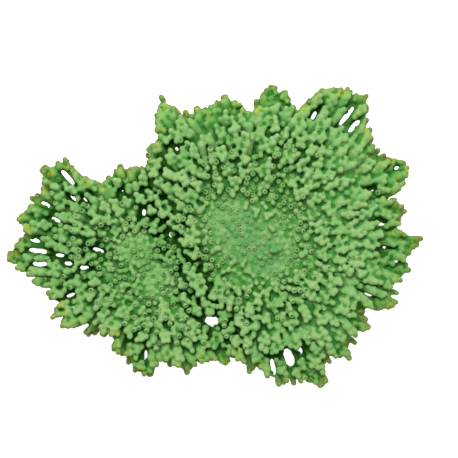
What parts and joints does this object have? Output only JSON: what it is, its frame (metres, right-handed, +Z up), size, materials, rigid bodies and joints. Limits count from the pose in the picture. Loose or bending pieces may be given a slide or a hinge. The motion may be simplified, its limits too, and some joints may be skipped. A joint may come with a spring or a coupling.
{
  "type": "table coral",
  "caption": "Green plating table coral: a flat table of fused radiating fronds thick with short branchlets, on a short stalk cut off flat.",
  "frame": {"origin": "middle of the flat cut across the foot of the stalk", "axes": "+Z up out of the foot; +X along the longest extent, from the side table towards the main table; +Y towards the back"},
  "size_m": [0.2386, 0.1744, 0.073],
  "materials": {
    "green_branchlets": "matte",
    "green_crown": "matte",
    "stalk_skeleton": "rough matte"
  },
  "bodies": {
    "root": {"stalk": "stalk_skeleton", "side_limb": "stalk_skeleton", "crown": "green_crown", "frond_right": "green_branchlets", "frond_right_back": "green_branchlets", "frond_back_right": "green_branchlets", "frond_back": "green_branchlets", "frond_back_left": "green_branchlets", "frond_left_back": "green_branchlets", "frond_left": "green_branchlets", "frond_left_front": "green_branchlets", "frond_front": "green_branchlets", "frond_front_right": "green_branchlets", "frond_right_front": "green_branchlets", "side_crown_front": "green_crown", "side_crown_back": "green_crown", "side_frond_back": "green_branchlets", "side_frond_back_left": "green_branchlets", "side_frond_left": "green_branchlets", "side_frond_left_front": "green_branchlets", "side_frond_front": "green_branchlets", "side_frond_front_right": "green_branchlets"}
  },
  "joints": []
}
